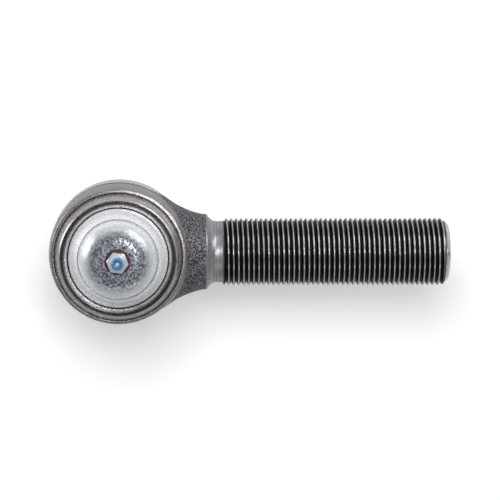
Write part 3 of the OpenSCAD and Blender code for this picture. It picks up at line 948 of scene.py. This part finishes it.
def boot_slice(name, top, bottom):
    """The part of the boot's wall between two heights, as a closed ring."""
    outer, inner = boot_outline()

    def clip(chain):
        kept = []
        for a, b in zip(chain[:-1], chain[1:]):
            lo, hi = (a, b) if a[1] < b[1] else (b, a)
            if bottom <= a[1] <= top:
                kept.append(tuple(a))
            crossing = [level for level in (top, bottom) if lo[1] < level < hi[1]]
            crossing.sort(reverse=bool(a[1] > b[1]))
            for level in crossing:
                t = (level - a[1]) / (b[1] - a[1])
                kept.append((a[0] + t * (b[0] - a[0]), level))
        if bottom <= chain[-1][1] <= top:
            kept.append(tuple(chain[-1]))
        return kept

    fine = []
    ring = clip(outer) + clip(inner)
    for a, b in zip(ring, ring[1:] + ring[:1]):
        a, b = np.array(a), np.array(b)
        pieces = max(1, int(np.linalg.norm(b - a) / 0.5))
        fine += [tuple(a + (b - a) * k / pieces) for k in range(pieces)]
    return lathe(name, fine, 192)


def stud_piece():
    """Ball, neck, boot land, taper and helical nut thread in one turned piece."""
    ball_r, pitch, crest_r = 19.05, INCH / 14, 11.1125
    thread_from, tip = 76.5, -STUD_LOW[2]
    ball_from, ball_to = 0.2688, 2.5577    # radians, from the flat on the ball to the neck
    sphere = [(-ball_r * math.cos(a), ball_r * math.sin(a)) for a in np.linspace(ball_from, ball_to, 90)]
    neck = rounded(
        [sphere[-1], (16.6, 10.5), (30.0, 10.5), (33.6, 13.4), (34.2, 13.7), (41.6, 13.7),
         (42.0, 13.5), (74.0, 11.5), (74.5, 9.72), (76.2, 9.72)],
        [0, 0.8, 3, 0.5, 0.3, 0.2, 0.2, 0.3, 0.5, 0], steps=6)
    before = [(-18.15, 0.0), (-18.15, 4.85), (-18.25, 5.0)] + sphere + neck[1:]
    after = [(tip, 8.4), (tip, 2.6), (tip - 0.3, 2.3), (tip - 2.0, 0.9), (tip - 3.4, 0.8)]

    def envelope(x):
        start = np.interp(x, [thread_from, thread_from + 1.0], [9.75, crest_r])
        return np.minimum(start, np.interp(x, [tip - 2.2, tip], [crest_r - 0.05, 8.6]))

    thread = (thread_from, tip, pitch, crest_r, DEPTH_PER_PITCH * pitch, envelope)
    down = [[0, 0, 1], [0, 1, 0], [-1, 0, 0]]    # turns the part from +X to -Z
    piece = turned_solid("stud_forging", before, after, thread, 144, down)
    hole_r, hole_z, half = 2.1, -96.0, 20
    hole = lathe("hole", [(0, -half), (hole_r, -half), (hole_r, half), (0, half)], 48, closed=False)
    hole.data.transform(Matrix.Rotation(math.pi / 2, 4, "X"))
    hole.data.transform(Matrix.Translation((0, 0, hole_z * MM)))
    piece = join_solids(piece, hole, "DIFFERENCE")
    piece.name = "stud_forging"
    return smooth(weld(piece, 0.003), 32)


def nut_piece():
    """Castle nut: chamfered hexagon, six slots and a plain bore."""
    flat = -NUT_LOW[1]
    corner = flat / math.cos(math.pi / 6)
    low, high = NUT_LOW[2], NUT_HIGH[2]
    outline = [(0, low), (flat - 1.6, low), (corner + 0.4, low + 2.7), (corner + 0.4, high - 1.7),
               (flat - 0.3, high), (0, high)]
    chamfer = lathe("chamfer", outline, 192, closed=False)
    nut = join_solids(prism("hexagon", hexagon(corner), low, high), chamfer, "INTERSECT")
    bore_r, mouth_r = 11.1425, 12.3
    bore = lathe("bore", [(0, low - 1), (bore_r, low - 1), (bore_r, high - 0.9), (mouth_r, high + 0.2),
                          (0, high + 0.2)], 128, closed=False)
    nut = join_solids(nut, bore, "DIFFERENCE")
    slot_half, slot_deep, reach = 2.3, 6.6, 30
    slot_outline = [(-reach, -slot_half), (reach, -slot_half), (reach, slot_half), (-reach, slot_half)]
    for k in range(3):
        slot = prism("slot", slot_outline, low - 1, low + slot_deep)
        slot.data.transform(Matrix.Rotation(math.pi / 2 + k * math.pi / 3, 4, "Z"))
        nut = join_solids(nut, slot, "DIFFERENCE")
    nut.name = "castle_nut_body"
    weld(nut, 0.003)
    bevel(nut, 0.28, 28)
    apply_modifiers(nut)
    return smooth(nut, 35)


def pin_piece():
    """Half-round wire folded into an eye, a double shank and two legs bent apart."""
    wire, gap, z = 1.6, 0.03, (PIN_LOW[2] + PIN_HIGH[2]) / 2
    long_leg, short_leg = 11.0, 8.8
    eye_r, eye_from = 2.15, 0.4668    # the eye's arc starts this many radians from the shank's side
    eye_y = PIN_LOW[1] + wire + eye_r
    leg_y, bend = -NUT_LOW[1] + 0.15 + wire, 2.2
    half = [(x, leg_y) for x in (long_leg, 8.0, 5.0)]
    half += [(bend * (1 - math.sin(a)) + gap, leg_y - bend * (1 - math.cos(a)))
             for a in np.linspace(0, math.pi / 2, 10)]
    neck_y = eye_y + eye_r * 1.75
    half += [(gap, y) for y in np.linspace(leg_y - bend - 1, neck_y, 12)]
    half += [(eye_r * math.sin(a), eye_y + eye_r * math.cos(a)) for a in np.linspace(eye_from, math.pi, 16)]
    other = [(-x, y) for x, y in half[::-1][1:]]
    other = [(max(x, -short_leg), y) for x, y in other]
    path = [(x, y, z) for x, y in half + other]
    arc = np.linspace(-math.pi / 2, math.pi / 2, 11)
    section = [(wire * math.cos(a), wire * math.sin(a)) for a in arc]
    return sweep("split_pin", path, section)


def blue_tip(piece):
    """Marks the nipple's opening, which the material colours deep blue."""
    p = coordinates(piece)
    inside = (np.hypot(p[:, 0], p[:, 1]) < 2.35) & (p[:, 2] > 44.6)
    store(piece, "tip", np.where(inside, 1.0, 0.0))
    return piece


def fitting_piece():
    """Grease fitting: chamfered hexagon, turned nipple, plain shank into the cap and a bore."""
    across_flats = 7.94
    corner = across_flats / 2 / math.cos(math.pi / 6)
    bottom, base, tip = FITTING_LOW[2], SEAL_HIGH[2] + 0.02, FITTING_HIGH[2]
    hex_top, turn = base + 3.6, math.radians(-7.5)
    chamfer = lathe("chamfer", [(0, base), (corner - 0.15, base), (corner + 0.3, base + 0.25),
                                (corner + 0.3, hex_top - 0.7), (corner - 0.75, hex_top), (0, hex_top)],
                    160, closed=False)
    body = join_solids(prism("hexagon", hexagon(corner, turn), base, hex_top), chamfer, "INTERSECT")
    turned = rounded(
        [(0, bottom), (2.9, bottom), (3.17, bottom + 0.3), (3.17, base + 0.5),
         (2.75, hex_top - 0.4), (2.75, hex_top), (2.45, hex_top + 0.35), (2.45, 42.6), (3.25, 43.2),
         (3.25, 44.4), (2.1, 45.95), (1.95, tip), (0, tip)],
        [0, 0, 0, 0, 0, 0.2, 0.3, 0.3, 0.25, 0.3, 0.2, 0.1, 0], steps=5)
    nipple = lathe("nipple", turned, 96, closed=False)
    body = join_solids(body, nipple)
    bore_r, mouth_r = 1.45, 0.95
    bore = lathe("bore", [(0, bottom - 1), (bore_r, bottom - 1), (bore_r, 44.35), (mouth_r, 45.15),
                          (mouth_r, tip - 0.15), (1.1, tip + 0.05), (0, tip + 0.05)], 64, closed=False)
    body = join_solids(body, bore, "DIFFERENCE")
    body.name = "grease_fitting_body"
    weld(body, 0.003)
    bevel(body, 0.12, 34)
    apply_modifiers(body)
    return smooth(blue_tip(body), 35)


# ---------------------------------------------------------------- build

put(housing_piece(), "socket_housing", "housing", "housing")
put(cap_piece(), "end_cap", "housing", "cap")
put(retainer_piece(), "boot_retainer_ring", "housing", "ring")
put(fitting_piece(), "grease_fitting", "housing", "fitting")
put(seal_piece(), "fitting_seal_washer", "housing", "red")
put(stud_piece(), "ball_stud", "stud", "stud")
put(nut_piece(), "castle_nut", "stud", "nut")
put(pin_piece(), "cotter_pin", "stud", "pin")

SEAT_LOW, SEAT_HIGH = 23.55, 33.1
CHECK_LOW, CHECK_HIGH = FITTING_LOW[2] + 0.6, 42.5
seat_spring = coil("seat_spring_wire", 12.6, 7.2, SEAT_LOW, SEAT_HIGH, turns=3.25, wire_r=1.2)
check_spring = coil("check_spring_wire", 1.05, 1.05, CHECK_LOW, CHECK_HIGH, turns=7, wire_r=0.17,
                    sides=8, steps=24)
bend_piece(seat_spring, "preload_spring", "spring")
bend_piece(check_spring, "fitting_check_spring", "spring")

GARTER_TUBE_R, GARTER_WIRE_R, GARTER_COILS = 0.8, 0.19, 240
garter_r = (GARTER_HIGH[0] - GARTER_LOW[0]) / 2 - GARTER_TUBE_R
garter_z = (GARTER_LOW[2] + GARTER_HIGH[2]) / 2
put(garter("garter_spring", garter_r, garter_z, GARTER_TUBE_R, GARTER_WIRE_R, GARTER_COILS),
    "boot_garter_ring", "boot_ring", "spring")

# The boot's heights. A mesh can bend across one joint only, so it is cut into three.
BEAD_BEND, BEAD_END, WALL_BEND, WALL_MIDDLE, COLLAR_TOP = -23.5, -25.0, -25.6, -33.4, -37.0
ABOVE_BOOT, BELOW_BOOT = 0.0, -60.0
for name, top, bottom, above, below, start_z, end_z in [
    ("boot_bead", ABOVE_BOOT, BEAD_END, "housing", "floating_seat", BEAD_BEND, BEAD_END),
    ("boot_upper_wall", BEAD_END, WALL_MIDDLE, "floating_seat", "boot", WALL_BEND, WALL_MIDDLE),
    ("boot_lower_wall", WALL_MIDDLE, BELOW_BOOT, "boot", "boot_ring", WALL_MIDDLE, COLLAR_TOP),
]:
    wall = boot_slice(name, top, bottom)
    bend_piece(wall, "dust_boot", "boot")

for node in ("cap_side_seat", "stud_side_seat"):
    dress(frame["nodes"][node], "bronze")
    bevel(frame["nodes"][node], 0.15)
dress(frame["nodes"]["fitting_check_ball"], "check_ball")

# ---------------------------------------------------------------- floor, light and camera

scene = bpy.context.scene
FLOOR_GAP, FLOOR_HALF = 0.0002, 4000    # metres under the part; millimetres from its middle
corners = [(-1, -1, 0), (1, -1, 0), (1, 1, 0), (-1, 1, 0)]
floor = make_mesh("studio_floor", np.array(corners) * FLOOR_HALF, [[0, 1, 2, 3]])
floor.location.z = cad_box[0].z - FLOOR_GAP
floor.data.materials.append(MATERIALS["floor"])

world = bpy.data.worlds.new("studio")
scene.world = world
world.use_nodes = True
sky = world.node_tree
sky.nodes.clear()
out = sky.nodes.new("ShaderNodeOutputWorld")
glow = sky.nodes.new("ShaderNodeBackground")
where = sky.nodes.new("ShaderNodeTexCoord")
split = sky.nodes.new("ShaderNodeSeparateXYZ")
ramp = sky.nodes.new("ShaderNodeValToRGB")
sky.links.new(where.outputs["Generated"], split.inputs[0])
sky.links.new(split.outputs["Z"], ramp.inputs[0])
sky.links.new(ramp.outputs["Color"], glow.inputs["Color"])
sky.links.new(glow.outputs[0], out.inputs[0])
# brightness of the surroundings, from the horizon (0) to straight up (1)
stops = [(0.0, 0.42), (0.2, 0.28), (0.5, 0.15), (0.85, 0.16), (1.0, 0.17)]
while len(ramp.color_ramp.elements) < len(stops):
    ramp.color_ramp.elements.new(0.5)
for element, (position, value) in zip(ramp.color_ramp.elements, stops):
    element.position = position
    element.color = (value, value, value * 1.02, 1)
glow.inputs["Strength"].default_value = 1.0


def panel(name, place, width, height, radiance, in_reflections=True):
    """A soft light panel at a place in metres, facing the part, with an even brightness."""
    target = Vector((0.03, 0.0, 0.0))
    light = bpy.data.lights.new(name, "AREA")
    light.shape, light.size, light.size_y = "RECTANGLE", width, height
    light.energy = radiance * math.pi * width * height
    holder = bpy.data.objects.new(name, light)
    scene.collection.objects.link(holder)
    holder.location = Vector(place)
    holder.rotation_mode = "QUATERNION"
    holder.rotation_quaternion = (Vector(place) - target).to_track_quat("Z", "Y")
    holder.visible_glossy = in_reflections


panel("overhead_strip", (0.23, 0.17, 1.3), 0.46, 0.14, 13.0)
panel("key_softbox", (0.62, 0.62, 0.62), 0.7, 0.5, 2.7)
panel("back_strip", (0.1, 1.1, 0.66), 1.4, 0.16, 1.2)
panel("front_strip", (0.1, -0.95, 0.85), 1.4, 0.3, 0.8)
panel("left_softbox", (-0.95, 0.35, 0.25), 0.5, 0.6, 3.6)
panel("shadow_light", (-0.04, 0.3, 1.1), 0.3, 0.3, 27.0, in_reflections=False)

camera = bpy.data.objects.new("camera", bpy.data.cameras.new("camera"))
scene.collection.objects.link(camera)
scene.camera = camera
# place, aim, roll and opening found by matching the part's circles and shank in the picture
eye = Vector((0.01598, 0.10841, 0.94402))
aim = Vector((0.05555, 0.00069, 0.0))
roll, opening_deg = 0.0042, 12.745
ahead = (aim - eye).normalized()
right = ahead.cross(Vector((0, 1, 0))).normalized()
up = right.cross(ahead)
right, up = (right * math.cos(roll) + up * math.sin(roll), up * math.cos(roll) - right * math.sin(roll))
turn = Matrix((right, up, -ahead)).transposed()
camera.rotation_mode = "QUATERNION"
camera.rotation_quaternion = turn.to_quaternion()
camera.location = eye
camera.data.sensor_fit = "AUTO"
camera.data.angle = math.radians(opening_deg)
camera.data.clip_start, camera.data.clip_end = 0.01, 50

scene.view_settings.view_transform = "Standard"
scene.view_settings.look = "None"
scene.view_settings.exposure = 0.0
